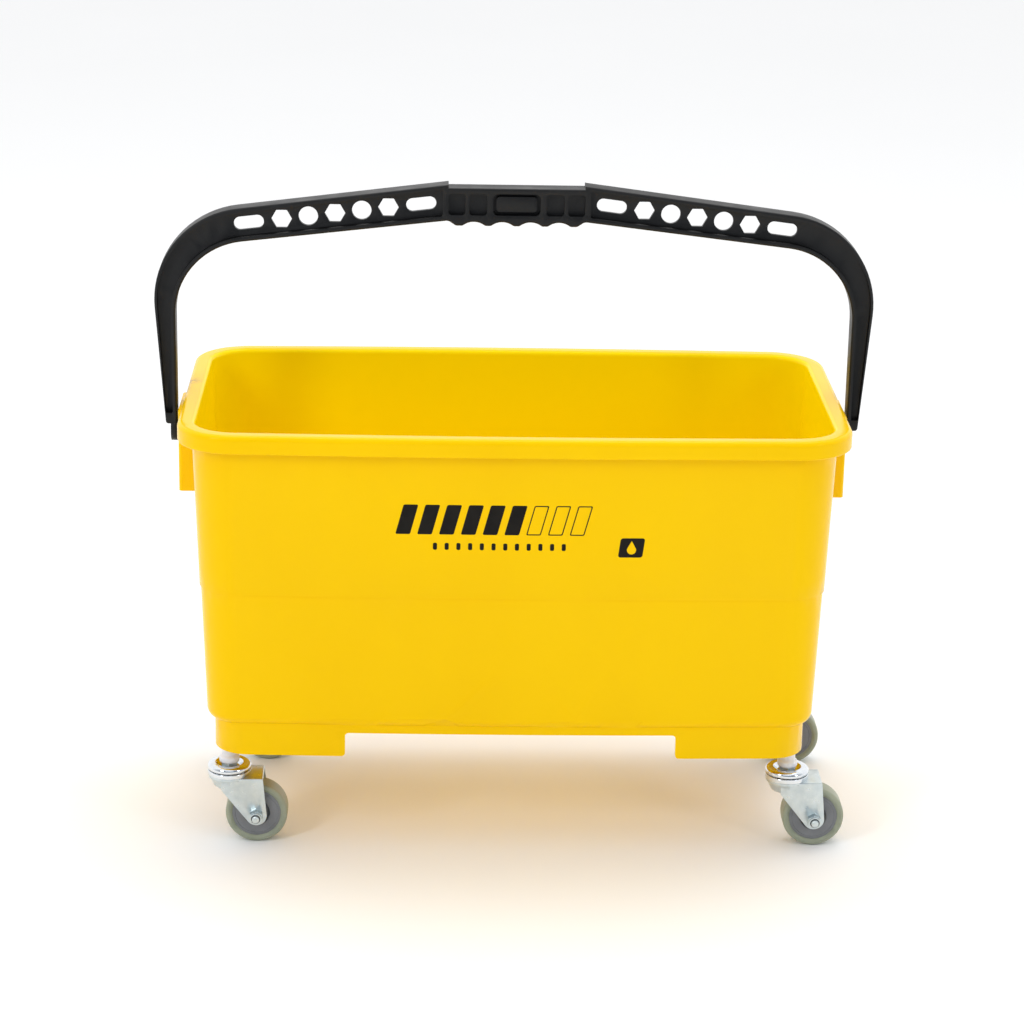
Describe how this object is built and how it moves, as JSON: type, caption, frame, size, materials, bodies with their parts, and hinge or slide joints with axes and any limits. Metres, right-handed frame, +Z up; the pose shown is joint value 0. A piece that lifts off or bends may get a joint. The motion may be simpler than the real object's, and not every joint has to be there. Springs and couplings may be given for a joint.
{
  "type": "wheeled bucket",
  "caption": "Rectangular moulded bucket on swivel casters, with a swinging bail handle whose arms have webs and lightening holes, for window washing and mopping.",
  "frame": {"origin": "on the floor under the middle of the bucket, where the wheels stand", "axes": "+X to the right along the long side, +Y from the front to the back, +Z up"},
  "size_m": [0.574, 0.2812, 0.5254],
  "materials": {
    "yellow_plastic": "moulded, semi-gloss",
    "black_plastic": "moulded, fine texture",
    "white_nylon": "smooth",
    "zinc_steel": "bright zinc plate",
    "polished_steel": "polished",
    "grey_hub": "moulded",
    "grey_tyre": "soft non-marking rubber"
  },
  "bodies": {
    "bucket_body": {"bucket": "yellow_plastic", "front_left_socket_sleeve": "white_nylon", "front_left_stem": "zinc_steel", "front_left_upper_race": "polished_steel", "front_right_socket_sleeve": "white_nylon", "front_right_stem": "zinc_steel", "front_right_upper_race": "polished_steel", "rear_left_socket_sleeve": "white_nylon", "rear_left_stem": "zinc_steel", "rear_left_upper_race": "polished_steel", "rear_right_socket_sleeve": "white_nylon", "rear_right_stem": "zinc_steel", "rear_right_upper_race": "polished_steel"},
    "bail": {"bail_handle": "black_plastic"},
    "front_left_caster": {"front_left_lower_race": "polished_steel", "front_left_bearing_balls": "polished_steel", "front_left_fork": "zinc_steel", "front_left_axle_bolt": "zinc_steel", "front_left_axle_nut": "zinc_steel", "front_left_axle_bush": "polished_steel"},
    "front_left_wheel": {"front_left_wheel_hub": "grey_hub", "front_left_wheel_tyre": "grey_tyre"},
    "front_right_caster": {"front_right_lower_race": "polished_steel", "front_right_bearing_balls": "polished_steel", "front_right_fork": "zinc_steel", "front_right_axle_bolt": "zinc_steel", "front_right_axle_nut": "zinc_steel", "front_right_axle_bush": "polished_steel"},
    "front_right_wheel": {"front_right_wheel_hub": "grey_hub", "front_right_wheel_tyre": "grey_tyre"},
    "rear_left_caster": {"rear_left_lower_race": "polished_steel", "rear_left_bearing_balls": "polished_steel", "rear_left_fork": "zinc_steel", "rear_left_axle_bolt": "zinc_steel", "rear_left_axle_nut": "zinc_steel", "rear_left_axle_bush": "polished_steel"},
    "rear_left_wheel": {"rear_left_wheel_hub": "grey_hub", "rear_left_wheel_tyre": "grey_tyre"},
    "rear_right_caster": {"rear_right_lower_race": "polished_steel", "rear_right_bearing_balls": "polished_steel", "rear_right_fork": "zinc_steel", "rear_right_axle_bolt": "zinc_steel", "rear_right_axle_nut": "zinc_steel", "rear_right_axle_bush": "polished_steel"},
    "rear_right_wheel": {"rear_right_wheel_hub": "grey_hub", "rear_right_wheel_tyre": "grey_tyre"}
  },
  "joints": [
    {"name": "bail_swing", "type": "hinge", "parent": "bucket_body", "child": "bail", "pos_m": [0, 0, 0.322], "axis": [1, 0, 0], "range_deg": [-118, 118]},
    {"name": "front_left_swivel", "type": "hinge", "parent": "bucket_body", "child": "front_left_caster", "pos_m": [-0.226, -0.086, 0.057], "axis": [0, 0, 1], "continuous": true},
    {"name": "front_left_wheel_spin", "type": "hinge", "parent": "front_left_caster", "child": "front_left_wheel", "pos_m": [-0.204, -0.086, 0.025], "axis": [0, 1, 0], "continuous": true},
    {"name": "front_right_swivel", "type": "hinge", "parent": "bucket_body", "child": "front_right_caster", "pos_m": [0.226, -0.086, 0.057], "axis": [0, 0, 1], "continuous": true},
    {"name": "front_right_wheel_spin", "type": "hinge", "parent": "front_right_caster", "child": "front_right_wheel", "pos_m": [0.248, -0.086, 0.025], "axis": [0, 1, 0], "continuous": true},
    {"name": "rear_left_swivel", "type": "hinge", "parent": "bucket_body", "child": "rear_left_caster", "pos_m": [-0.226, 0.086, 0.057], "axis": [0, 0, 1], "continuous": true},
    {"name": "rear_left_wheel_spin", "type": "hinge", "parent": "rear_left_caster", "child": "rear_left_wheel", "pos_m": [-0.204, 0.086, 0.025], "axis": [0, 1, 0], "continuous": true},
    {"name": "rear_right_swivel", "type": "hinge", "parent": "bucket_body", "child": "rear_right_caster", "pos_m": [0.226, 0.086, 0.057], "axis": [0, 0, 1], "continuous": true},
    {"name": "rear_right_wheel_spin", "type": "hinge", "parent": "rear_right_caster", "child": "rear_right_wheel", "pos_m": [0.248, 0.086, 0.025], "axis": [0, 1, 0], "continuous": true}
  ]
}
